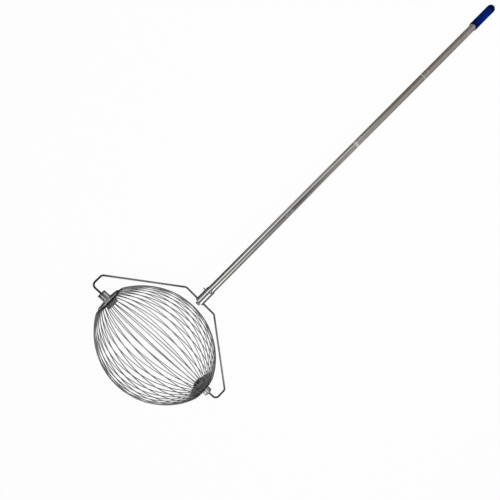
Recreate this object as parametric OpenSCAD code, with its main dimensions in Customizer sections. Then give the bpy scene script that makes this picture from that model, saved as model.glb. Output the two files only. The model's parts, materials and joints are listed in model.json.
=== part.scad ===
// Nut gatherer: a rolling wire cage carried by a bent rod yoke on a long jointed handle.
// Millimetres, +Z up. X runs along the axle, +Y points from the cage to the grip.
// It lies on the floor: the cage stands at the front and the handle slopes down to its grip.

/* [Cage] */
// Wires round the cage, shared evenly among the wire nodes
wire_count = 48; // [24:24:48]
// Diameter of one wire
wire_d = 1.9; // [1.6:0.1:2.4]
// Radius of the wires' centre line at the middle of the cage
cage_r = 121; // [112:1:130]
// Distance from the middle of the cage to the plane of the wire ends
cage_half = 148; // [138:1:158]
// Radius at which a wire starts to bend away from its disc
kink_r = 36; // [34.5:0.5:39]
// Bend radius of a wire beside its disc
kink_bend = 12; // [8:1:16]
// Radius at which a wire ends inside its disc
wire_end_r = 23; // [21.5:0.5:25]

/* [End discs] */
// Radius of the discs that hold the wire ends
holder_r = 31; // [29:0.5:33]
// Thickness of these discs
holder_t = 5; // [4.5:0.5:8]
// Radius of the outer plates
plate_r = 30; // [26:0.5:33]
// Thickness of the outer plates
plate_t = 2; // [1.5:0.5:4]
// Radius of the raised middle of the outer plates
plate_raise_r = 16; // [13:0.5:20]
// Height of the raised middle over the plate's rim
plate_raise = 2; // [1:0.5:4]
// Radius of the hub nuts
nut_r = 14; // [11.5:0.5:18]
// Thickness of the hub nuts
nut_t = 10; // [7:0.5:14]
// Chamfer on the edges of turned pieces
edge_break = 0.5; // [0.2:0.1:0.7]

/* [Axle sleeves] */
// Radius of the sleeve outside the plate
sleeve_r = 10; // [9.5:0.5:11.5]
// Length of the sleeve outside the plate
sleeve_out = 18.5; // [12:0.5:22]
// Radius of the sleeve's spigot through the plate, the disc and the nut
spigot_r = 8; // [7.5:0.25:8.5]
// Radius of the bearing inside the sleeve
bearing_r = 6; // [5:0.25:6.5]
// Depth of the recess in the sleeve's outer end
recess_depth = 3; // [1:0.5:5]
// Wall round that recess
recess_wall = 2; // [1.5:0.1:2.5]
// Step from the nut's inner face to the end of the spigot
nut_overhang = 1; // [0.5:0.5:3]

/* [Yoke] */
// Diameter of the yoke rod
rod_d = 4.5; // [4:0.1:5.5]
// Gap between a sleeve's end and the upright of the yoke
hook_gap = 25; // [20:0.5:40]
// Height of the yoke's upright over the axle
hook_h = 30; // [25:1:45]
// Half length of the cross run between the sloping legs
cross_half = 47; // [35:1:60]
// Gap between the cage and the cross run
cage_gap = 16.5; // [12:0.5:30]
// Bend radius at the foot of the upright
foot_bend = 10; // [7:0.5:13]
// Bend radius at the head of the upright
leg_bend = 8; // [6:0.5:14]
// Bend radius at the end of the cross run
cross_bend = 10; // [6:0.5:20]
// Length of the rod's end inside a bearing
rod_end = 26; // [18:1:28]

/* [Ferrule] */
// Wall of the ferrule
ferrule_wall = 1.5; // [1.2:0.1:2.5]
// Length of the ferrule
ferrule_len = 42; // [42:0.5:60]
// Distance from the ferrule's lower end to the middle of the rod
ferrule_drop = 5; // [4.5:0.5:6.5]
// Diameter of the end plug's boss below the ferrule
boss_d = 10.4; // [8:0.2:16]
// Length of the end plug's boss below the ferrule
boss_out = 6; // [3:0.5:7]
// Gap between the end plug and the rod above it
boss_gap = 0.3; // [0.2:0.05:0.5]
// Distance from the middle of the rod to the lowest tube
tube_start = 6; // [4:0.5:8]
// Distance from the middle of the rod to the side screw
screw_up = 26.5; // [18:0.5:30]
// Diameter of the side screw
screw_d = 3; // [2.5:0.5:4]
// Length of the side screw outside the ferrule
screw_out = 6.5; // [3:0.5:9]
// Width of the screwdriver slot
slot_w = 0.8; // [0.6:0.1:1]
// Depth of the screwdriver slot
slot_depth = 1.2; // [0.8:0.1:1.5]

/* [Snap button] */
// Distance from the middle of the rod to the button
button_up = 31.5; // [28:0.5:32]
// Diameter of the button
button_d = 8; // [7:0.1:8.6]
// Height of the button over the ferrule
button_proud = 2; // [1.5:0.25:3.5]
// Radius of the button's domed top
dome_r = 7; // [6:0.5:14]
// Diameter of the flange that keeps the button in the tube
flange_d = 10; // [9.2:0.1:10.4]
// Thickness of the flange
flange_t = 1.3; // [1:0.1:1.8]
// Width of the leaf spring under the button
leaf_w = 7; // [5:0.5:8]
// Thickness of the leaf spring
leaf_t = 0.8; // [0.5:0.1:1]
// Length of the straight legs of the leaf spring
leaf_len = 25; // [18:1:40]
// Length of the leaf on the far side of the button
leaf_tail = 5; // [4:0.5:8]

/* [Handle] */
// Outer diameter of the tubes
tube_d = 19; // [18.5:0.25:22]
// Wall of the tubes
tube_wall = 1.2; // [1:0.1:1.4]
// Length of the lowest tube
low_tube = 285; // [200:1:360]
// Length of the two middle tubes
mid_tube = 242; // [160:1:320]
// Length of the top tube, up to the closed end of the grip
top_tube = 276; // [200:1:360]
// Length of the collar seen between two tubes
collar_len = 20; // [12:1:32]
// Length of the coupler's spigot in the tube below
lower_spigot = 26; // [16:1:36]
// Length of the coupler's screwed spigot in the insert above
upper_spigot = 22; // [14:1:23]
// Radius of the screwed spigot
screwed_r = 6.5; // [5:0.25:7]
// Length of the threaded inserts
insert_len = 24; // [23.5:0.5:36]
// Chamfer on the tube ends
tube_break = 0.6; // [0.2:0.1:0.6]

/* [Grip] */
// Length of the grip
grip_len = 83; // [70:1:130]
// Wall of the grip
grip_wall = 2; // [1.5:0.1:4]
// Thickness of the grip's closed end
grip_end = 3; // [2:0.5:6]
// Rounding of the grip's closed end
grip_round = 5; // [3:0.5:6]
// Rounding of the grip's open end
lip_round = 1; // [0.5:0.1:1.4]

/* [Fits] */
// Radial clearance of the rod in its bearings and of the button in its holes
run_gap = 0.05; // [0.02:0.01:0.08]
// Radial clearance of pieces fixed in each other
seat_gap = 0.05; // [0.02:0.01:0.08]
// Extra radius of the rod and the wires in their bends, where bending upsets the metal
bend_swell = 0.02; // [0.015:0.005:0.05]
// Length by which a straight run reaches into the bend beside it
bend_lap = 0.4; // [0.2:0.05:0.45]
// Overrun of cutting shapes past the faces they cut
overrun = 1; // [0.5:0.1:2]

/* [Hidden] */
$fn = 64;
wire_nodes = 24;
wires_each = wire_count / wire_nodes;
wire_pitch = 360 / wire_count;

// Wire path: straight out of the disc, round the kink, over the belly and back the same way
wire_rad = wire_d / 2;
belly_rise = cage_r - kink_r;
kink_x = cage_half - kink_bend;
belly_bend = (pow(kink_x, 2) + pow(belly_rise, 2) - pow(kink_bend, 2)) / (2 * (belly_rise - kink_bend));
belly_mid = cage_r - belly_bend;
kink_turn = atan2(kink_r - belly_mid, kink_x);
belly_start = kink_turn - atan2(bend_lap, belly_bend);

// Stack on each axle end, measured outward from the middle of the cage
holder_in = cage_half - holder_t / 2;
holder_out = cage_half + holder_t / 2;
nut_in = holder_in - nut_t;
spigot_in = nut_in + nut_overhang;
sleeve_in = holder_out + plate_t + plate_raise;
sleeve_end = sleeve_in + sleeve_out;
bearing_end = sleeve_end - recess_depth;
rod_in = bearing_end - rod_end;

// Yoke path corners
rod_rad = rod_d / 2;
rod_bend_rad = rod_rad + bend_swell;
yoke_half = sleeve_end + hook_gap + rod_rad;
yoke_reach = cage_r + wire_rad + cage_gap + rod_rad;
leg_dir = atan2(yoke_reach - hook_h, cross_half - yoke_half);
leg_trim = leg_bend * tan((leg_dir - 90) / 2);
cross_trim = cross_bend * tan((180 - leg_dir) / 2);
leg_line = [cos(leg_dir), sin(leg_dir)];
leg_low = [yoke_half, hook_h] + (leg_trim - bend_lap) * leg_line;
leg_high = [cross_half, yoke_reach] - (cross_trim - bend_lap) * leg_line;
cross_end = cross_half - cross_trim;

// Handle stations, measured from the axle along the handle
tube_r = tube_d / 2;
bore_r = tube_r - tube_wall;
plug_r = bore_r - seat_gap;
ferrule_in = tube_r + seat_gap;
ferrule_r = ferrule_in + ferrule_wall;
cut_r = ferrule_r + overrun;
ferrule_y = yoke_reach - ferrule_drop;
boss_y = ferrule_y - boss_out;
boss_disc = ferrule_drop - rod_rad - boss_gap;
tube_1_y = yoke_reach + tube_start;
coupler_1_y = tube_1_y + low_tube;
tube_2_y = coupler_1_y + collar_len;
coupler_2_y = tube_2_y + mid_tube;
tube_3_y = coupler_2_y + collar_len;
coupler_3_y = tube_3_y + mid_tube;
tube_4_y = coupler_3_y + collar_len;
handle_end = tube_4_y + top_tube + grip_end;
grip_y = handle_end - grip_len;
grip_r = tube_r + seat_gap + grip_wall;
button_y = yoke_reach + button_up;
screw_y = yoke_reach + screw_up;
screw_end = ferrule_r + screw_out;

// Snap button and its leaf spring, measured outward from the handle's middle line
button_r = button_d / 2;
flange_r = flange_d / 2;
button_top = ferrule_r + button_proud;
flange_top = sqrt(pow(plug_r, 2) - pow(flange_r, 2));
leaf_top = flange_top - flange_t;
leaf_bottom = -sqrt(pow(plug_r, 2) - pow(leaf_w / 2, 2));
leaf_fold = (leaf_top - leaf_bottom) / 2;
leaf_mid = (leaf_top + leaf_bottom) / 2;
leaf_y = button_y - leaf_tail;

// Rest on the floor: two wires straddle the lowest point, the grip's rounded end touches behind
cage_reach = cage_r * cos(wire_pitch / 2) + wire_rad;
rest_run = handle_end - grip_round;
rest_rise = grip_r - grip_round;
tilt = asin((cage_reach - grip_round) / norm([rest_run, rest_rise])) - atan2(rest_rise, rest_run);
far_y = rest_run * cos(tilt) + rest_rise * sin(tilt) + grip_round;
axle_y = (cage_reach - far_y) / 2;

module on_axle() {
  translate([0, axle_y, cage_reach])
    children();
}

module on_handle() {
  on_axle()
    rotate([-tilt, 0, 0])
      children();
}

// Places a piece drawn along +Z so that it runs along +X from the given distance
module outward(from) {
  on_axle()
    translate([from, 0, 0])
      rotate([0, 90, 0])
        children();
}

module on_left() {
  mirror([1, 0, 0])
    children();
}

// Places a piece drawn along +Z so that it runs up the handle from the given distance
module up_handle(from) {
  on_handle()
    translate([0, from, 0])
      rotate([-90, 0, 0])
        children();
}

module straight_run(from, to, rad) {
  translate([from[0], from[1], 0])
    rotate([0, 0, atan2(to[1] - from[1], to[0] - from[0])])
      rotate([0, 90, 0])
        cylinder(h = norm(to - from), r = rad);
}

module bend_run(middle, bend, start, turn, rad) {
  translate([middle[0], middle[1], 0])
    rotate([0, 0, start])
      rotate_extrude(angle = turn)
        translate([bend, 0])
          circle(r = rad);
}

// Round bar with chamfered edges at both ends
module turned_bar(len, rad, chamfer) {
  rotate_extrude()
    polygon([
      [0, 0], [rad - chamfer, 0], [rad, chamfer],
      [rad, len - chamfer], [rad - chamfer, len], [0, len]
    ]);
}

// Tube with chamfered outer edges at both ends
module turned_tube(len, rad, hole, chamfer) {
  rotate_extrude()
    polygon([
      [hole, 0], [rad - chamfer, 0], [rad, chamfer],
      [rad, len - chamfer], [rad - chamfer, len], [hole, len]
    ]);
}

// Half of one wire, from its end in the disc to the start of the belly
module wire_half() {
  straight_run([cage_half, wire_end_r], [cage_half, kink_r + bend_lap], wire_rad);
  bend_run([kink_x, kink_r], kink_bend, 0, kink_turn, wire_rad + bend_swell);
}

module cage_wire() {
  wire_half();
  bend_run([0, belly_mid], belly_bend, belly_start, 180 - 2 * belly_start, wire_rad);
  on_left() wire_half();
}

module wire_group(index) {
  color("silver")
    on_axle()
      for (i = [0:wires_each - 1])
        rotate([(index * wires_each + i + 0.5) * wire_pitch - 90, 0, 0])
          cage_wire();
}

module wire_holder() {
  color("black")
    difference() {
      outward(holder_in)
        turned_tube(holder_t, holder_r, spigot_r + seat_gap, edge_break);
      on_axle()
        for (i = [0:wire_count - 1])
          rotate([(i + 0.5) * wire_pitch - 90, 0, 0])
            straight_run([cage_half, wire_end_r], [cage_half, holder_r + overrun], wire_rad + seat_gap);
    }
}

module outer_plate() {
  color("gray")
    outward(holder_out)
      rotate_extrude()
        polygon([
          [spigot_r + seat_gap, 0], [plate_r, 0],
          [plate_r, plate_t - edge_break], [plate_r - edge_break, plate_t],
          [plate_raise_r, plate_t + plate_raise], [spigot_r + seat_gap, plate_t + plate_raise]
        ]);
}

module hub_nut() {
  color("dimgray")
    outward(nut_in)
      turned_tube(nut_t, nut_r, spigot_r + seat_gap, edge_break);
}

module axle_sleeve() {
  color("lightgray")
    outward(0)
      rotate_extrude()
        polygon([
          [bearing_r + seat_gap, spigot_in], [spigot_r, spigot_in],
          [spigot_r, sleeve_in], [sleeve_r, sleeve_in],
          [sleeve_r, sleeve_end - edge_break], [sleeve_r - edge_break, sleeve_end],
          [sleeve_r - recess_wall, sleeve_end], [sleeve_r - recess_wall, bearing_end],
          [bearing_r + seat_gap, bearing_end]
        ]);
}

module axle_bearing() {
  color("dimgray")
    outward(spigot_in)
      difference() {
        cylinder(h = bearing_end - spigot_in, r = bearing_r);
        translate([0, 0, -overrun])
          cylinder(h = bearing_end - spigot_in + 2 * overrun, r = rod_rad + run_gap);
      }
}

module wire_holder_left() {
  on_left() wire_holder();
}

module wire_holder_right() {
  wire_holder();
}

module outer_plate_left() {
  on_left() outer_plate();
}

module outer_plate_right() {
  outer_plate();
}

module hub_nut_left() {
  on_left() hub_nut();
}

module hub_nut_right() {
  hub_nut();
}

module axle_sleeve_left() {
  on_left() axle_sleeve();
}

module axle_sleeve_right() {
  axle_sleeve();
}

module axle_bearing_left() {
  on_left() axle_bearing();
}

module axle_bearing_right() {
  axle_bearing();
}

// One side of the yoke, from the rod's end in the bearing to the cross run
module yoke_side() {
  straight_run([rod_in, 0], [yoke_half - foot_bend + bend_lap, 0], rod_rad);
  bend_run([yoke_half - foot_bend, foot_bend], foot_bend, -90, 90, rod_bend_rad);
  straight_run([yoke_half, foot_bend - bend_lap], [yoke_half, hook_h - leg_trim + bend_lap], rod_rad);
  bend_run([yoke_half - leg_bend, hook_h - leg_trim], leg_bend, 0, leg_dir - 90, rod_bend_rad);
  straight_run(leg_low, leg_high, rod_rad);
  bend_run([cross_end, yoke_reach - cross_bend], cross_bend, leg_dir - 90, 180 - leg_dir, rod_bend_rad);
}

module yoke_rod() {
  color("slategray")
    on_handle() {
      yoke_side();
      straight_run([cross_end + bend_lap, yoke_reach], [-cross_end - bend_lap, yoke_reach], rod_rad);
      on_left() yoke_side();
    }
}

module ferrule() {
  color("lightgray")
    difference() {
      up_handle(ferrule_y)
        turned_tube(ferrule_len, ferrule_r, ferrule_in, edge_break);
      on_handle() {
        straight_run([cut_r, yoke_reach], [-cut_r, yoke_reach], rod_rad + seat_gap);
        straight_run([0, screw_y], [-cut_r, screw_y], screw_d / 2 + seat_gap);
        translate([0, button_y, 0])
          cylinder(h = cut_r, r = button_r + run_gap);
      }
    }
}

// Turned plug that closes the ferrule: its disc sits under the rod, its boss stands out below
module end_plug() {
  color("gray")
    up_handle(boss_y) {
      turned_bar(boss_out + boss_disc / 2, boss_d / 2, edge_break);
      translate([0, 0, boss_out])
        turned_bar(boss_disc, ferrule_in - seat_gap, edge_break);
    }
}

// Headless screw that clamps the tube: its tip stops just short of it, its slotted end stands out
module side_screw() {
  color("gray")
    on_handle()
      difference() {
        translate([-ferrule_in, screw_y, 0])
          rotate([0, -90, 0])
            turned_bar(screw_end - ferrule_in, screw_d / 2, edge_break);
        translate([-screw_end - overrun, screw_y - slot_w / 2, -screw_d])
          cube([overrun + slot_depth, slot_w, 2 * screw_d]);
      }
}

module snap_button() {
  color("gray")
    on_handle()
      translate([0, button_y, 0]) {
        translate([0, 0, leaf_top])
          cylinder(h = flange_t, r = flange_r);
        intersection() {
          translate([0, 0, flange_top])
            cylinder(h = button_top - flange_top, r = button_r);
          translate([0, 0, button_top - dome_r])
            sphere(r = dome_r);
        }
      }
}

// Folded leaf: one leg lies on the tube's wall, the other carries the button
module button_spring() {
  color("silver")
    on_handle()
      translate([-leaf_w / 2, leaf_y, 0]) {
        translate([0, 0, leaf_bottom])
          cube([leaf_w, leaf_len, leaf_t]);
        translate([0, 0, leaf_top - leaf_t])
          cube([leaf_w, leaf_len, leaf_t]);
        translate([0, leaf_len, leaf_mid])
          rotate([90, 0, 90])
            rotate([0, 0, -90])
              rotate_extrude(angle = 180)
                translate([leaf_fold - leaf_t, 0])
                  square([leaf_t, leaf_w]);
      }
}

module plain_tube(from, len) {
  color("silver")
    up_handle(from)
      turned_tube(len, tube_r, bore_r, tube_break);
}

module tube_1() {
  difference() {
    plain_tube(tube_1_y, low_tube);
    on_handle()
      translate([0, button_y, 0])
        cylinder(h = cut_r, r = button_r + run_gap);
  }
}

module tube_2() {
  plain_tube(tube_2_y, mid_tube);
}

module tube_3() {
  plain_tube(tube_3_y, mid_tube);
}

module tube_4() {
  plain_tube(tube_4_y, top_tube);
}

// Collar with a spigot down into one tube and a screwed spigot up into the next
module coupler(from) {
  color("lightgray")
    up_handle(from) {
      translate([0, 0, -lower_spigot])
        cylinder(h = lower_spigot, r = plug_r);
      turned_bar(collar_len, tube_r, tube_break);
      translate([0, 0, collar_len])
        cylinder(h = upper_spigot, r = screwed_r);
    }
}

module coupler_1() {
  coupler(coupler_1_y);
}

module coupler_2() {
  coupler(coupler_2_y);
}

module coupler_3() {
  coupler(coupler_3_y);
}

module threaded_insert(from) {
  color("gold")
    up_handle(from)
      difference() {
        cylinder(h = insert_len, r = plug_r);
        translate([0, 0, -overrun])
          cylinder(h = insert_len + 2 * overrun, r = screwed_r + seat_gap);
      }
}

module threaded_insert_1() {
  threaded_insert(tube_2_y);
}

module threaded_insert_2() {
  threaded_insert(tube_3_y);
}

module threaded_insert_3() {
  threaded_insert(tube_4_y);
}

module grip() {
  color("mediumblue")
    up_handle(grip_y)
      difference() {
        rotate_extrude()
          union() {
            translate([0, lip_round])
              square([grip_r, grip_len - lip_round - grip_round]);
            square([grip_r - lip_round, grip_len - grip_round]);
            square([grip_r - grip_round, grip_len]);
            translate([grip_r - lip_round, lip_round])
              circle(r = lip_round);
            translate([grip_r - grip_round, grip_len - grip_round])
              circle(r = grip_round);
          }
        translate([0, 0, -overrun])
          cylinder(h = grip_len - grip_end + overrun, r = tube_r + seat_gap);
      }
}

wire_group(0);  // cage_wires_01
wire_group(1);  // cage_wires_02
wire_group(2);  // cage_wires_03
wire_group(3);  // cage_wires_04
wire_group(4);  // cage_wires_05
wire_group(5);  // cage_wires_06
wire_group(6);  // cage_wires_07
wire_group(7);  // cage_wires_08
wire_group(8);  // cage_wires_09
wire_group(9);  // cage_wires_10
wire_group(10);  // cage_wires_11
wire_group(11);  // cage_wires_12
wire_group(12);  // cage_wires_13
wire_group(13);  // cage_wires_14
wire_group(14);  // cage_wires_15
wire_group(15);  // cage_wires_16
wire_group(16);  // cage_wires_17
wire_group(17);  // cage_wires_18
wire_group(18);  // cage_wires_19
wire_group(19);  // cage_wires_20
wire_group(20);  // cage_wires_21
wire_group(21);  // cage_wires_22
wire_group(22);  // cage_wires_23
wire_group(23);  // cage_wires_24
wire_holder_left();
wire_holder_right();
outer_plate_left();
outer_plate_right();
hub_nut_left();
hub_nut_right();
axle_sleeve_left();
axle_sleeve_right();
axle_bearing_left();
axle_bearing_right();
yoke_rod();
ferrule();
end_plug();
side_screw();
snap_button();
button_spring();
tube_1();
tube_2();
tube_3();
tube_4();
coupler_1();
coupler_2();
coupler_3();
threaded_insert_1();
threaded_insert_2();
threaded_insert_3();
grip();
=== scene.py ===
import json
import math
import bmesh
import bpy
from mathutils import Matrix, Vector


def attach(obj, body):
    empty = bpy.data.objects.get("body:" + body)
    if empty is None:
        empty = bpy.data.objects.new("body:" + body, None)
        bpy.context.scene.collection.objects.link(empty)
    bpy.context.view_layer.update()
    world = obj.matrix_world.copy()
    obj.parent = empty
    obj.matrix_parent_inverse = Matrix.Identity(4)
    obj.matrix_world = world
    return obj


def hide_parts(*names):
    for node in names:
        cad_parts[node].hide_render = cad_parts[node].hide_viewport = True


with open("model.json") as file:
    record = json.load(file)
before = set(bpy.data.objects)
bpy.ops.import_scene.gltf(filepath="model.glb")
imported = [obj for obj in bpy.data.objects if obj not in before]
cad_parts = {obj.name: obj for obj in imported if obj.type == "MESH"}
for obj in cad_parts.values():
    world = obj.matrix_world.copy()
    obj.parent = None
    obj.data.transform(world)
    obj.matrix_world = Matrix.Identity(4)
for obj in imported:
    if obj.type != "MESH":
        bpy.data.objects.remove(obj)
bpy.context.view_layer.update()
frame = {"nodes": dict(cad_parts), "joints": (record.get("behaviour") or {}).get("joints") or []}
print("frame loaded:", len(frame["nodes"]), "nodes")

# where the axle and the handle are, read from the joints
joints = {j["name"]: j for j in frame["joints"]}
axle = Vector(joints["cage_spin"]["pos_m"])
buttonOut = Vector(joints["button_press"]["axis"])
tilt = math.atan2(buttonOut.y, buttonOut.z)
axlePlace = Matrix.Translation(axle)
handlePlace = axlePlace @ Matrix.Rotation(-tilt, 4, "X")
alongX = Matrix.Rotation(math.radians(90), 4, "Y")        # lays a piece turned on Z along the axle
alongHandle = Matrix.Rotation(math.radians(-90), 4, "X")  # and here up the handle
tilted = (tilt, 0, 0)
backToAxle = Matrix.Rotation(tilt, 3, "X") @ -axle        # with tilted, it counts from the axle, Y up the handle
quarter = math.pi / 2
collection = bpy.context.scene.collection


def newLook(name):
    look = bpy.data.materials.new(name)
    look.use_nodes = True
    tree = look.node_tree
    shader = tree.nodes["Principled BSDF"]
    return look, tree, shader


def addNode(tree, kind, **values):
    node = tree.nodes.new(kind)
    for key, value in values.items():
        if key in node.inputs:
            node.inputs[key].default_value = value
        else:
            setattr(node, key, value)
    return node


def objectSpace(tree, move=(0, 0, 0), turn=(0, 0, 0), size=(1, 1, 1)):
    coord = tree.nodes.new("ShaderNodeTexCoord")
    place = addNode(tree, "ShaderNodeMapping", Location=move, Rotation=turn, Scale=size)
    tree.links.new(coord.outputs["Object"], place.inputs["Vector"])
    return place.outputs["Vector"]


def handleSpace(tree):
    return objectSpace(tree, move=backToAxle, turn=tilted)


noise = {"rough": 0.55, "low": 0.3, "high": 0.7}    # most of a noise lies between low and high


def noiseAt(tree, space, scale, detail):
    node = addNode(tree, "ShaderNodeTexNoise", Scale=scale, Detail=detail, Roughness=noise["rough"])
    tree.links.new(space, node.inputs["Vector"])
    return node.outputs["Fac"]


def spread(tree, value, low, high, start=noise["low"], end=noise["high"]):
    node = tree.nodes.new("ShaderNodeMapRange")
    node.inputs["From Min"].default_value = start
    node.inputs["From Max"].default_value = end
    node.inputs["To Min"].default_value = low
    node.inputs["To Max"].default_value = high
    tree.links.new(value, node.inputs["Value"])
    return node.outputs["Result"]


def twoTone(tree, value, dark, light):
    ramp = tree.nodes.new("ShaderNodeValToRGB")
    first, last = ramp.color_ramp.elements
    first.position, last.position = noise["low"], noise["high"]
    first.color, last.color = (*dark, 1), (*light, 1)
    tree.links.new(value, ramp.inputs["Fac"])
    return ramp.outputs["Color"]


warmLoss = {"green": 0.45, "blue": 0.8}     # what a fully warm grey loses of each


# grey shares that change along one axis, given as (place in metres, share) with an optional warmth
def sharesAlong(tree, space, axis, stops):
    low, high = stops[0][0], stops[-1][0]
    split = tree.nodes.new("ShaderNodeSeparateXYZ")
    tree.links.new(space, split.inputs["Vector"])
    where = spread(tree, split.outputs[axis], 0.0, 1.0, low, high)
    ramp = tree.nodes.new("ShaderNodeValToRGB")
    dots = ramp.color_ramp.elements
    while len(dots) < len(stops):
        dots.new(0.5)
    for dot, (place, share, *warm) in zip(dots, stops):
        warmth = warm[0] if warm else 0.0
        green, blue = 1 - warmLoss["green"] * warmth, 1 - warmLoss["blue"] * warmth
        dot.position = (place - low) / (high - low)
        dot.color = (share, share * green, share * blue, 1)
    tree.links.new(where, ramp.inputs["Fac"])
    return ramp.outputs["Color"]


# tones a colour down along the piece by the given shares; on the yoke, button, grip and holder this is painted
# shade
def darkenAlong(tree, colour, finish):
    if "darkening" not in finish:
        return colour
    darkening = finish["darkening"]
    mix = addNode(tree, "ShaderNodeMix", data_type="RGBA", blend_type="MULTIPLY")
    mix.inputs[0].default_value = 1.0
    tree.links.new(colour, mix.inputs[6])       # by number: the colour sockets share their names with others
    tree.links.new(sharesAlong(tree, handleSpace(tree), darkening["axis"], darkening["stops"]), mix.inputs[7])
    return mix.outputs[2]


def addBump(tree, shader, height, strength, distance):
    node = addNode(tree, "ShaderNodeBump", Strength=strength, Distance=distance)
    tree.links.new(height, node.inputs["Height"])
    tree.links.new(node.outputs["Normal"], shader.inputs["Normal"])


drawn = {"cloud": 45, "cloudDetail": 4, "markDetail": 2, "bump": 0.12, "depth": 0.00004}
turned = {"cloud": 60, "cloudDetail": 4, "waver": 1.5, "waverDetail": 2.0, "waverScale": 0.3,
          "bump": 0.15, "depth": 0.00003}
moulded = {"cloud": 90, "cloudDetail": 4, "patch": 160, "patchDetail": 3, "grainDetail": 2, "depth": 0.00008}


# metal with fine marks, drawn out by the finish's lines along each axis
def drawnSteel(name, finish):
    look, tree, shader = newLook(name)
    shader.inputs["Metallic"].default_value = 1.0
    shader.inputs["Anisotropic"].default_value = finish.get("anisotropic", 0.0)
    if "ground" in finish:      # matt ground places scatter the light where the polished ones mirror
        shares = sharesAlong(tree, handleSpace(tree), "Y", finish["ground"])
        tree.links.new(shares, shader.inputs["Metallic"])
    cloud = noiseAt(tree, objectSpace(tree), drawn["cloud"], drawn["cloudDetail"])
    tone = twoTone(tree, cloud, finish["dark"], finish["light"])
    tree.links.new(darkenAlong(tree, tone, finish), shader.inputs["Base Color"])
    markSpace = objectSpace(tree, turn=finish.get("turn", (0, 0, 0)), size=finish["lines"])
    marks = noiseAt(tree, markSpace, 1.0, drawn["markDetail"])
    tree.links.new(spread(tree, marks, *finish["rough"]), shader.inputs["Roughness"])
    addBump(tree, shader, marks, drawn["bump"], drawn["depth"])
    return look


# metal with the marks of a lathe round the axle: rings on a face, bands along a shaft
def turnedSteel(name, finish):
    look, tree, shader = newLook(name)
    shader.inputs["Metallic"].default_value = 1.0
    space = objectSpace(tree, move=-axle)
    wave = addNode(tree, "ShaderNodeTexWave", Scale=1 / finish["pitch"], Distortion=turned["waver"],
                   Detail=turned["waverDetail"], wave_type=finish["marks"],
                   rings_direction="X", bands_direction="X")
    wave.inputs["Detail Scale"].default_value = turned["waverScale"]
    tree.links.new(space, wave.inputs["Vector"])
    cloud = noiseAt(tree, space, turned["cloud"], turned["cloudDetail"])
    tone = twoTone(tree, cloud, finish["dark"], finish["light"])
    tree.links.new(darkenAlong(tree, tone, finish), shader.inputs["Base Color"])
    marks = wave.outputs["Fac"]
    tree.links.new(spread(tree, marks, *finish["rough"], 0.0, 1.0), shader.inputs["Roughness"])
    addBump(tree, shader, marks, turned["bump"], turned["depth"])
    return look


def mouldedPlastic(name, finish):
    look, tree, shader = newLook(name)
    shader.inputs["Specular IOR Level"].default_value = finish["shine"]
    space = objectSpace(tree)
    cloud = noiseAt(tree, space, moulded["cloud"], moulded["cloudDetail"])
    tone = twoTone(tree, cloud, finish["dark"], finish["light"])
    tree.links.new(darkenAlong(tree, tone, finish), shader.inputs["Base Color"])
    patch = noiseAt(tree, space, moulded["patch"], moulded["patchDetail"])
    tree.links.new(spread(tree, patch, *finish["rough"]), shader.inputs["Roughness"])
    grain = noiseAt(tree, space, finish["grain"], moulded["grainDetail"])
    addBump(tree, shader, grain, finish["bump"], moulded["depth"])
    return look


print("finishes ready")

mergeGap = 0.000002
rims = {"angle": math.radians(25), "level": 0.000001, "segments": 3}


def putAt(bm, place):
    bmesh.ops.transform(bm, matrix=place, verts=bm.verts)


def soften(bm, edges, width, segments=rims["segments"]):
    bmesh.ops.bevel(bm, geom=edges, offset=width, segments=segments, profile=0.5, affect="EDGES", material=-1)


def makePiece(name, bm, look, body, stands, sharpAngle=35):
    bmesh.ops.remove_doubles(bm, verts=bm.verts, dist=mergeGap)
    bmesh.ops.recalc_face_normals(bm, faces=bm.faces)
    mesh = bpy.data.meshes.new(name)
    bm.to_mesh(mesh)
    bm.free()
    mesh.shade_smooth()
    mesh.set_sharp_from_angle(angle=math.radians(sharpAngle))
    mesh.materials.append(look)
    piece = bpy.data.objects.new(name, mesh)
    collection.objects.link(piece)
    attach(piece, body)
    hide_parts(*stands)


# a profile of (radius, height) corners spun round Z, its rim edges softened by a bevel
def turnPiece(profile, steps, soft=0.0, closed=False):
    bm = bmesh.new()
    verts = [bm.verts.new((r, 0, z)) for r, z in profile]
    edges = [bm.edges.new(pair) for pair in zip(verts, verts[1:])]
    if closed:
        edges.append(bm.edges.new((verts[-1], verts[0])))
    bmesh.ops.spin(bm, geom=verts + edges, cent=(0, 0, 0), axis=(0, 0, 1), angle=math.radians(360),
                   steps=steps, use_merge=True)
    bmesh.ops.remove_doubles(bm, verts=bm.verts, dist=mergeGap)
    bmesh.ops.recalc_face_normals(bm, faces=bm.faces)
    if soft:
        bent = [e for e in bm.edges if len(e.link_faces) == 2 and e.calc_face_angle() > rims["angle"]]
        soften(bm, [e for e in bent if abs(e.verts[0].co.z - e.verts[1].co.z) < rims["level"]], soft)
    return bm


# a round section carried along straight runs and bends in the XY plane
def startRod(at, heading, rad, sides):
    bm = bmesh.new()
    made = bmesh.ops.create_circle(bm, cap_ends=False, radius=rad, segments=sides)
    turn = Matrix.Rotation(heading, 4, "Z") @ alongX
    bmesh.ops.transform(bm, matrix=Matrix.Translation((*at, 0)) @ turn, verts=made["verts"])
    return bm, list(bm.edges)


def runRod(bm, rim, vector):
    made = bmesh.ops.extrude_edge_only(bm, edges=rim)
    verts = [g for g in made["geom"] if isinstance(g, bmesh.types.BMVert)]
    edges = [g for g in made["geom"] if isinstance(g, bmesh.types.BMEdge)]
    bmesh.ops.translate(bm, verts=verts, vec=(*vector, 0))
    return [e for e in edges if all(v in verts for v in e.verts)]


def bendRod(bm, rim, middle, turn, steps):
    made = bmesh.ops.spin(bm, geom=rim, cent=(*middle, 0), axis=(0, 0, 1), angle=turn, steps=steps)
    return [g for g in made["geom_last"] if isinstance(g, bmesh.types.BMEdge)]


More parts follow.
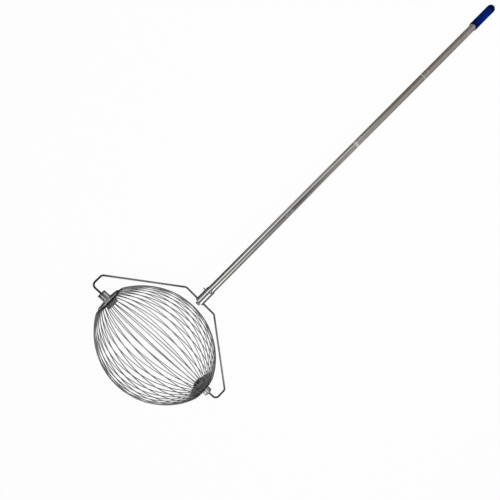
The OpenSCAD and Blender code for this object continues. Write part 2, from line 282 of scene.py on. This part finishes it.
def capRod(bm, soft=0.0):
    ends = [e for e in bm.edges if e.is_boundary]
    bmesh.ops.holes_fill(bm, edges=ends, sides=0)
    bmesh.ops.recalc_face_normals(bm, faces=bm.faces)
    if soft:
        soften(bm, ends, soft)


cage = {"wires": 48, "perNode": 2, "radius": 0.121, "half": 0.148, "wire": 0.00095, "endRadius": 0.023,
        "kinkRadius": 0.036, "kinkBend": 0.012, "sides": 8, "kinkSteps": 6, "bellySteps": 56, "sharp": 60,
        "finish": {"dark": (0.25, 0.25, 0.255), "light": (0.39, 0.39, 0.395), "rough": (0.22, 0.36),
                   "lines": (30, 900, 900)}}

# each wire leaves its disc, turns through the kink and swings over the belly in one arc
rise = cage["radius"] - cage["kinkRadius"]
kinkX = cage["half"] - cage["kinkBend"]
bellyBend = (kinkX ** 2 + rise ** 2 - cage["kinkBend"] ** 2) / (2 * (rise - cage["kinkBend"]))
bellyMiddle = cage["radius"] - bellyBend
kinkTurn = math.atan2(cage["kinkRadius"] - bellyMiddle, kinkX)
pitch = math.radians(360 / cage["wires"])
wireLook = drawnSteel("cageWireSteel", cage["finish"])


def addWire(bm, turn):
    one, rim = startRod((cage["half"], cage["endRadius"]), quarter, cage["wire"], cage["sides"])
    rim = runRod(one, rim, (0, cage["kinkRadius"] - cage["endRadius"]))
    rim = bendRod(one, rim, (kinkX, cage["kinkRadius"]), kinkTurn, cage["kinkSteps"])
    rim = bendRod(one, rim, (0, bellyMiddle), math.pi - 2 * kinkTurn, cage["bellySteps"])
    rim = bendRod(one, rim, (-kinkX, cage["kinkRadius"]), kinkTurn, cage["kinkSteps"])
    runRod(one, rim, (0, cage["endRadius"] - cage["kinkRadius"]))
    capRod(one)
    putAt(one, axlePlace @ Matrix.Rotation(turn, 4, "X"))
    mesh = bpy.data.meshes.new("oneWire")
    one.to_mesh(mesh)
    one.free()
    bm.from_mesh(mesh)
    bpy.data.meshes.remove(mesh)


for group in range(cage["wires"] // cage["perNode"]):
    bm = bmesh.new()
    for k in range(cage["perNode"]):
        addWire(bm, (group * cage["perNode"] + k + 0.5) * pitch - quarter)
    number = "%02d" % (group + 1)
    makePiece("cageWires" + number, bm, wireLook, "cage", ["cage_wires_" + number],
              cage["sharp"])
print("cage wires done")


# the stack on each axle end, measured outward from the middle of the cage
plate = {"piece": "outerPlate", "node": "outer_plate", "slot": "plate_steel", "from": 0.1505, "radius": 0.030,
         "thick": 0.002, "raiseRadius": 0.016, "raise": 0.002, "hole": 0.00805, "soft": 0.0006, "steps": 72,
         "finish": {"dark": (0.66, 0.642, 0.624), "light": (0.8, 0.782, 0.765), "rough": (0.3, 0.45),
                    "marks": "RINGS", "pitch": 0.012}}
nut = {"piece": "hubNut", "node": "hub_nut", "slot": "nut_charcoal", "from": 0.1355, "radius": 0.014,
       "thick": 0.010, "hole": 0.00805, "soft": 0.0006, "steps": 64,
       "finish": {"dark": (0.135, 0.135, 0.137), "light": (0.185, 0.185, 0.188), "rough": (0.45, 0.65),
                  "grain": 2600, "bump": 0.25, "shine": 0.3}}
sleeve = {"piece": "axleSleeve", "node": "axle_sleeve", "slot": "sleeve_steel", "from": 0.1365, "seat": 0.1545,
          "end": 0.173, "radius": 0.010, "spigot": 0.008, "bore": 0.00605, "recess": 0.003,
          "recessRadius": 0.008, "soft": 0.0006, "steps": 64,
          "finish": {"dark": (0.5, 0.5, 0.505), "light": (0.68, 0.68, 0.685), "rough": (0.14, 0.26),
                     "marks": "BANDS", "pitch": 0.006,
                     # the last few millimetres of each outer end are darker
                     "darkening": {"axis": "X", "stops": ((-0.1725, 0.22), (-0.1675, 1.0),
                                                     (0.1675, 1.0), (0.1725, 0.22))}}}
bearing = {"piece": "axleBearing", "node": "axle_bearing", "slot": "bearing_nylon", "radius": 0.006,
           "hole": 0.0023, "soft": 0.0004, "steps": 48,
           "finish": {"dark": (0.03, 0.03, 0.03), "light": (0.06, 0.06, 0.06), "rough": (0.35, 0.5),
                      "grain": 1800, "bump": 0.25, "shine": 0.4}}

p, n, s, b = plate, nut, sleeve, bearing
plateRim = p["from"] + p["thick"]
plateTop = plateRim + p["raise"]
nutTop = n["from"] + n["thick"]
recessFloor = s["end"] - s["recess"]
plateLine = [(p["hole"], p["from"]), (p["radius"], p["from"]), (p["radius"], plateRim),
             (p["raiseRadius"], plateTop), (p["hole"], plateTop)]
nutLine = [(n["hole"], n["from"]), (n["radius"], n["from"]), (n["radius"], nutTop), (n["hole"], nutTop)]
sleeveLine = [(s["bore"], s["from"]), (s["spigot"], s["from"]), (s["spigot"], s["seat"]),
              (s["radius"], s["seat"]), (s["radius"], s["end"]), (s["recessRadius"], s["end"]),
              (s["recessRadius"], recessFloor), (s["bore"], recessFloor)]
bearingLine = [(b["hole"], s["from"]), (b["radius"], s["from"]), (b["radius"], recessFloor),
               (b["hole"], recessFloor)]
stack = [(plate, plateLine, turnedSteel("plateSteel", plate["finish"])),
         (nut, nutLine, mouldedPlastic("nutCharcoal", nut["finish"])),
         (sleeve, sleeveLine, turnedSteel("sleeveSteel", sleeve["finish"])),
         (bearing, bearingLine, mouldedPlastic("bearingNylon", bearing["finish"]))]
flips = {"left": Matrix.Scale(-1, 4, (1, 0, 0)), "right": Matrix.Identity(4)}

for side, flip in flips.items():
    for shape, line, look in stack:
        bm = turnPiece(line, shape["steps"], shape["soft"], closed=True)
        putAt(bm, axlePlace @ flip @ alongX)
        makePiece(shape["piece"] + side.title(), bm, look, "cage", [shape["node"] + "_" + side])
print("end discs done")


yoke = {"rod": 0.00225, "start": 0.144, "half": 0.20025, "hook": 0.030, "cross": 0.047, "reach": 0.1407,
        "footBend": 0.010, "legBend": 0.008, "crossBend": 0.010, "sides": 20, "steps": 12, "soft": 0.0006,
        "sharp": 50,
        "finish": {"dark": (0.36, 0.36, 0.365), "light": (0.5, 0.5, 0.505), "rough": (0.2, 0.34),
                   "lines": (40, 700, 700),
                   # the hooks and the cross run are painted darker than the legs: painted shade standing in for
                   # the dark reflections they show
                   "darkening": {"axis": "Y", "stops": ((0.03, 0.2), (0.048, 1.0), (0.115, 1.0), (0.132, 0.45))}}}
y = yoke
legTurn = math.atan2(y["reach"] - y["hook"], y["cross"] - y["half"])
legSwing = legTurn - quarter
crossSwing = math.pi - legTurn
legTrim = y["legBend"] * math.tan(legSwing / 2)
crossTrim = y["crossBend"] * math.tan(crossSwing / 2)
legLine = Vector((math.cos(legTurn), math.sin(legTurn)))
legRun = (Vector((y["cross"], y["reach"])) - Vector((y["half"], y["hook"]))).length - legTrim - crossTrim
footX = y["half"] - y["footBend"]
legX = y["half"] - y["legBend"]
legY = y["hook"] - legTrim
crossX = y["cross"] - crossTrim
crossY = y["reach"] - y["crossBend"]

# from the right foot over the cross run to the left foot
bm, rim = startRod((y["start"], 0), 0, y["rod"], y["sides"])
rim = runRod(bm, rim, (footX - y["start"], 0))
rim = bendRod(bm, rim, (footX, y["footBend"]), quarter, y["steps"])
rim = runRod(bm, rim, (0, legY - y["footBend"]))
rim = bendRod(bm, rim, (legX, legY), legSwing, y["steps"])
rim = runRod(bm, rim, legLine * legRun)
rim = bendRod(bm, rim, (crossX, crossY), crossSwing, y["steps"])
rim = runRod(bm, rim, (-2 * crossX, 0))
rim = bendRod(bm, rim, (-crossX, crossY), crossSwing, y["steps"])
rim = runRod(bm, rim, Vector((legLine.x, -legLine.y)) * legRun)
rim = bendRod(bm, rim, (-legX, legY), legSwing, y["steps"])
rim = runRod(bm, rim, (0, y["footBend"] - legY))
rim = bendRod(bm, rim, (-footX, y["footBend"]), quarter, y["steps"])
runRod(bm, rim, (footX - y["start"], 0))
capRod(bm, y["soft"])
putAt(bm, handlePlace)
rodLook = drawnSteel("yokeRodSteel", y["finish"])
makePiece("yokeRod", bm, rodLook, "handle", ["yoke_rod"], y["sharp"])
print("yoke done")


button = {"at": 0.1722, "radius": 0.004, "top": 0.01305, "dome": 0.007, "domeSteps": 7, "flange": 0.005,
          "flangeTop": 0.006562, "flangeBottom": 0.005262, "soft": 0.00025, "steps": 40,
          "finish": {"dark": (0.44, 0.44, 0.44), "light": (0.52, 0.52, 0.52), "rough": (0.3, 0.42),
                     "lines": (600, 600, 600), "ground": ((0.1702, 0.6), (0.1742, 0.3)),
                     # the flank below the dome is painted near black: a painted shadow ring round the button
                     # where it rises from the ferrule
                     "darkening": {"axis": "Z", "stops": ((0.01245, 0.03), (0.0127, 1.0))}}}
b = button
domeTurn = math.asin(b["radius"] / b["dome"]) / b["domeSteps"]
domeLine = [(b["dome"] * math.sin(k * domeTurn), b["top"] - b["dome"] * (1 - math.cos(k * domeTurn)))
            for k in range(b["domeSteps"], -1, -1)]
flangeLine = [(0, b["flangeBottom"]), (b["flange"], b["flangeBottom"]), (b["flange"], b["flangeTop"]),
              (b["radius"], b["flangeTop"])]
bm = turnPiece(flangeLine + domeLine, b["steps"], b["soft"])
putAt(bm, handlePlace @ Matrix.Translation((0, b["at"], 0)))
buttonLook = drawnSteel("buttonSteel", b["finish"])
makePiece("snapButton", bm, buttonLook, "button", ["snap_button"])
print("button done")


grip = {"from": 1.1717, "length": 0.083, "radius": 0.01155, "bore": 0.00955, "end": 0.003, "round": 0.005,
        "roundSteps": 8, "lip": 0.0009, "lipSteps": 4, "edgeAngle": 60, "steps": 64,
        "finish": {"dark": (0.0, 0.014, 0.17), "light": (0.0, 0.022, 0.24), "rough": (0.35, 0.5),
                   "grain": 700, "bump": 0.3, "shine": 0.012,
                   # painted shade: darker at the lower end and much darker over the rounded end cap, where the
                   # surface turns away from the light
                   "darkening": {"axis": "Y", "stops": ((1.173, 0.45), (1.2, 1.0), (1.236, 0.9), (1.2425, 0.2))}}}
g = grip
bm = turnPiece([(g["bore"], 0), (g["radius"], 0), (g["radius"], g["length"]), (0, g["length"])], g["steps"])
inner = [e for e in bm.edges if len(e.link_faces) == 2]
edges = [e for e in inner if e.calc_face_angle() > math.radians(g["edgeAngle"])]
ends = [e for e in edges if e.verts[0].co.z > g["length"] / 2]
lips = [e for e in edges if e.verts[0].co.z < g["length"] / 2]
soften(bm, ends, g["round"], g["roundSteps"])
soften(bm, [e for e in lips if e.is_valid], g["lip"], g["lipSteps"])
wall = bmesh.ops.extrude_edge_only(bm, edges=[e for e in bm.edges if e.is_boundary])
wallVerts = [v for v in wall["geom"] if isinstance(v, bmesh.types.BMVert)]
bmesh.ops.translate(bm, verts=wallVerts, vec=(0, 0, g["length"] - g["end"]))
bmesh.ops.holes_fill(bm, edges=[e for e in bm.edges if e.is_boundary], sides=0)
putAt(bm, handlePlace @ Matrix.Translation((0, g["from"], 0)) @ alongHandle)
vinylLook = mouldedPlastic("gripVinyl", g["finish"])
makePiece("gripSleeve", bm, vinylLook, "handle", ["grip"])
print("grip done")


# finishes of the pieces that keep their solids
holder = {"dark": (0.3, 0.3, 0.296), "light": (0.38, 0.38, 0.375), "rough": (0.4, 0.6), "grain": 2600,
          "bump": 0.25, "shine": 0.12,
          # the outer rim of each holder, next to the plate, is painted near black: a painted shadow at the rim
          "darkening": {"axis": "X", "stops": ((-0.1468, 0.02), (-0.1462, 1.0), (0.1462, 1.0), (0.1468, 0.02))}}
ferrule = {"dark": (0.60, 0.60, 0.60), "light": (0.68, 0.68, 0.68), "rough": (0.08, 0.16),
           "lines": (900, 30, 900), "turn": tilted}
plug = {"dark": (0.3, 0.3, 0.3), "light": (0.42, 0.42, 0.42), "rough": (0.22, 0.36), "lines": (600, 600, 600)}
fitting = {"dark": (0.18, 0.18, 0.18), "light": (0.28, 0.28, 0.28), "rough": (0.2, 0.36),
           "lines": (600, 600, 600)}
brass = {"dark": (0.58, 0.42, 0.17), "light": (0.72, 0.55, 0.26), "rough": (0.2, 0.35),
         "lines": (60, 1800, 60), "turn": tilted}
tube = {"dark": (0.60, 0.586, 0.566), "light": (0.68, 0.665, 0.644), "rough": (0.06, 0.13),
        "lines": (1500, 14, 1500), "turn": tilted, "anisotropic": 0.3}
collar = {"dark": (0.63, 0.618, 0.60), "light": (0.71, 0.698, 0.68), "rough": (0.16, 0.28),
          "lines": (60, 2600, 60), "turn": tilted}
# the collars' ends and the second tube's upper end are ground matt, each as far as the maker took it
tubeRing = ((0.687, 1.0), (0.6883, 0.25), (0.6937, 0.25))
collarRings = {"coupler_1": ((0.4317, 1.0), (0.4502, 1.0), (0.4512, 0.6)),
               "coupler_2": ((0.6937, 0.25), (0.6949, 0.35), (0.6962, 1.0), (0.7122, 1.0), (0.7132, 0.6)),
               "coupler_3": ((0.9557, 0.5), (0.9572, 0.6), (0.9582, 1.0))}

holderLook = mouldedPlastic("holderBlack", holder)
fittingLook = drawnSteel("fittingSteel", fitting)
tubeLook = drawnSteel("tubeSteel", tube)
brassLook = drawnSteel("insertBrass", brass)
carried = {"wire_holder_left": holderLook, "wire_holder_right": holderLook,
           "ferrule": drawnSteel("ferruleSteel", ferrule), "end_plug": drawnSteel("plugSteel", plug),
           "side_screw": fittingLook, "button_spring": fittingLook, "tube_1": tubeLook,
           "tube_2": drawnSteel("ringedTubeSteel", {**tube, "ground": tubeRing}),
           "tube_3": tubeLook, "tube_4": tubeLook}
for k, (nodeName, ring) in enumerate(collarRings.items()):
    carried[nodeName] = drawnSteel("collarSteel%d" % (k + 1), {**collar, "ground": ring})
    carried["threaded_insert_%d" % (k + 1)] = brassLook
for nodeName, look in carried.items():
    slots = frame["nodes"][nodeName].data.materials
    slots.clear()
    slots.append(look)
print("solids dressed")


# a flat one-metre sheet of the stage, stretched and put in its place
def addSheet(name, look, width, low, high, place):
    bm = bmesh.new()
    bmesh.ops.create_grid(bm, x_segments=1, y_segments=1, size=0.5)
    bmesh.ops.scale(bm, vec=(width, high - low, 1), verts=bm.verts)
    bmesh.ops.translate(bm, vec=(0, (low + high) / 2, 0), verts=bm.verts)
    putAt(bm, place)
    mesh = bpy.data.meshes.new(name)
    bm.to_mesh(mesh)
    bm.free()
    mesh.materials.append(look)
    sheet = bpy.data.objects.new(name, mesh)
    collection.objects.link(sheet)
    return sheet


# 1 for the rays that show the background: seen straight, mirrored or through something clear
def seenRays(tree):
    path = tree.nodes.new("ShaderNodeLightPath")
    most = addNode(tree, "ShaderNodeMath", operation="MAXIMUM")
    tree.links.new(path.outputs["Is Camera Ray"], most.inputs[0])
    tree.links.new(path.outputs["Is Glossy Ray"], most.inputs[1])
    every = addNode(tree, "ShaderNodeMath", operation="MAXIMUM")
    tree.links.new(most.outputs[0], every.inputs[0])
    tree.links.new(path.outputs["Is Transmission Ray"], every.inputs[1])
    return every.outputs[0]


floor = {"half": 8.0, "tone": 0.7, "rough": 0.9, "whiteShare": 0.97}
floorLook, tree, paper = newLook("studioFloorPaper")
paper.inputs["Base Color"].default_value = (floor["tone"], floor["tone"], floor["tone"], 1)
paper.inputs["Roughness"].default_value = floor["rough"]
paper.inputs["Specular IOR Level"].default_value = 0.0
glow = addNode(tree, "ShaderNodeEmission", Strength=1.0)
share = addNode(tree, "ShaderNodeMath", operation="MULTIPLY")
share.inputs[1].default_value = floor["whiteShare"]     # the rest keeps the shadow
mixFloor = tree.nodes.new("ShaderNodeMixShader")
tree.links.new(seenRays(tree), share.inputs[0])
tree.links.new(share.outputs[0], mixFloor.inputs["Fac"])
tree.links.new(paper.outputs["BSDF"], mixFloor.inputs[1])
tree.links.new(glow.outputs["Emission"], mixFloor.inputs[2])
tree.links.new(mixFloor.outputs["Shader"], tree.nodes["Material Output"].inputs["Surface"])
addSheet("studioFloor", floorLook, 2 * floor["half"], -floor["half"], floor["half"], Matrix.Identity(4))

light = {"fill": 0.18, "key": 31.0, "keyAt": (0.3, 0.1, 1.95), "keySize": 1.1, "aim": (0.05, 0.05, 0.05)}
world = bpy.context.scene.world or bpy.data.worlds.new("studioWorld")
bpy.context.scene.world = world
world.use_nodes = True
tree = world.node_tree
tree.nodes.clear()
fill = addNode(tree, "ShaderNodeBackground", Color=(1, 1, 1, 1), Strength=light["fill"])
seen = addNode(tree, "ShaderNodeBackground", Color=(1, 1, 1, 1), Strength=1.0)
mixWorld = tree.nodes.new("ShaderNodeMixShader")
out = tree.nodes.new("ShaderNodeOutputWorld")
tree.links.new(seenRays(tree), mixWorld.inputs["Fac"])
tree.links.new(fill.outputs[0], mixWorld.inputs[1])
tree.links.new(seen.outputs[0], mixWorld.inputs[2])
tree.links.new(mixWorld.outputs[0], out.inputs["Surface"])

lamp = bpy.data.lights.new("keySoftbox", "AREA")
lamp.energy = light["key"]
lamp.size = light["keySize"]
key = bpy.data.objects.new("keySoftbox", lamp)
key.location = light["keyAt"]
key.rotation_mode = "QUATERNION"
key.rotation_quaternion = (Vector(light["aim"]) - key.location).to_track_quat("-Z", "Y")
collection.objects.link(key)
key.visible_glossy = False      # the bright metal mirrors the cards instead

# grey cards that only reflections see, hung along the handle as a studio does round bright metal
# each fades along its length: stops are metres up the handle, edges are degrees round it or metres beside it
cards = {"reach": 1.6, "from": -0.6, "to": 3.2, "stops": (-0.12, 0.0, 0.5, 1.0, 1.42, 1.9),
         "floorFrom": -0.3, "floorTo": 1.3, "floorLift": 0.002,
         "floorStops": (-0.2, 0.1, 0.29, 0.49, 0.66, 1.08), "warmth": (0, 0, 0, 0, 0.06, 0.17)}
hung = {"farLeft": {"edges": (-89, -62), "tones": (0.04, 0.06, 0.07, 0.42, 0.14, 0.1)},
        "left": {"edges": (-62, -29), "tones": (0.04, 1.1, 1.4, 0.72, 0.85, 0.27)},
        "overhead": {"edges": (-29, 18), "tones": (0.05, 0.19, 0.22, 0.1, 0.38, 0.4)},
        "right": {"edges": (18, 60), "tones": (0.04, 2.1, 0.72, 0.2, 0.45, 0.45)},
        "farRight": {"edges": (60, 89), "tones": (0.04, 0.18, 0.17, 0.17, 0.36, 0.22)}}
laid = {"floorLeft": {"edges": (-1.5, -0.02), "tones": (0.04, 0.04, 0.06, 0.35, 0.33, 0.13)},
        "floorRight": {"edges": (0.02, 1.5), "tones": (0.04, 0.07, 0.08, 0.2, 1.2, 0.2)}}
front = {"width": 1.5, "to": 2.2, "at": -1.7, "stops": ((-2.7, 0.05), (-0.7, 0.05))}


def addCard(name, place, width, low, high, stops):
    cloth, tree, shader = newLook(name + "Cloth")
    tree.nodes.remove(shader)
    glow = addNode(tree, "ShaderNodeEmission", Strength=1.0)
    tree.links.new(sharesAlong(tree, handleSpace(tree), "Y", stops), glow.inputs["Color"])
    tree.links.new(glow.outputs["Emission"], tree.nodes["Material Output"].inputs["Surface"])
    card = addSheet(name + "Card", cloth, width, low, high, place)
    card.visible_camera = False
    card.visible_diffuse = False
    card.visible_shadow = False
    card.visible_transmission = False


for name, card in hung.items():
    first, last = [math.radians(v) for v in card["edges"]]
    aside = Matrix.Rotation((first + last) / 2, 4, "Y") @ Matrix.Translation((0, 0, cards["reach"]))
    width = 2 * cards["reach"] * math.tan((last - first) / 2)
    addCard(name, handlePlace @ aside, width, cards["from"], cards["to"],
            list(zip(cards["stops"], card["tones"], cards["warmth"])))
for name, card in laid.items():
    first, last = card["edges"]
    addCard(name, Matrix.Translation(((first + last) / 2, axle.y, cards["floorLift"])), last - first,
            cards["floorFrom"], cards["floorTo"],
            list(zip(cards["floorStops"], card["tones"], cards["warmth"])))
upright = Matrix.Translation((0, axle.y + front["at"], 0)) @ Matrix.Rotation(quarter, 4, "X")
addCard("front", upright, front["width"], 0, front["to"], front["stops"])

view = {"at": (-0.25383, -0.32014, 1.11073), "right": (0.662655, 0.718871, 0.210031),
        "up": (-0.709309, 0.69242, -0.132043), "back": (-0.240352, -0.061478, 0.968737),
        "lens": 31.32, "sensor": 36.0, "near": 0.01, "far": 50.0}
camera = bpy.data.objects.new("photoCamera", bpy.data.cameras.new("photoCamera"))
camera.data.lens = view["lens"]
camera.data.sensor_width = view["sensor"]
camera.data.clip_start = view["near"]
camera.data.clip_end = view["far"]
turn = Matrix((view["right"], view["up"], view["back"])).transposed()
camera.matrix_world = Matrix.Translation(view["at"]) @ turn.to_4x4()
collection.objects.link(camera)
bpy.context.scene.camera = camera
bpy.context.scene.view_settings.view_transform = "Standard"
print("stage done")

bpy.context.view_layer.update()
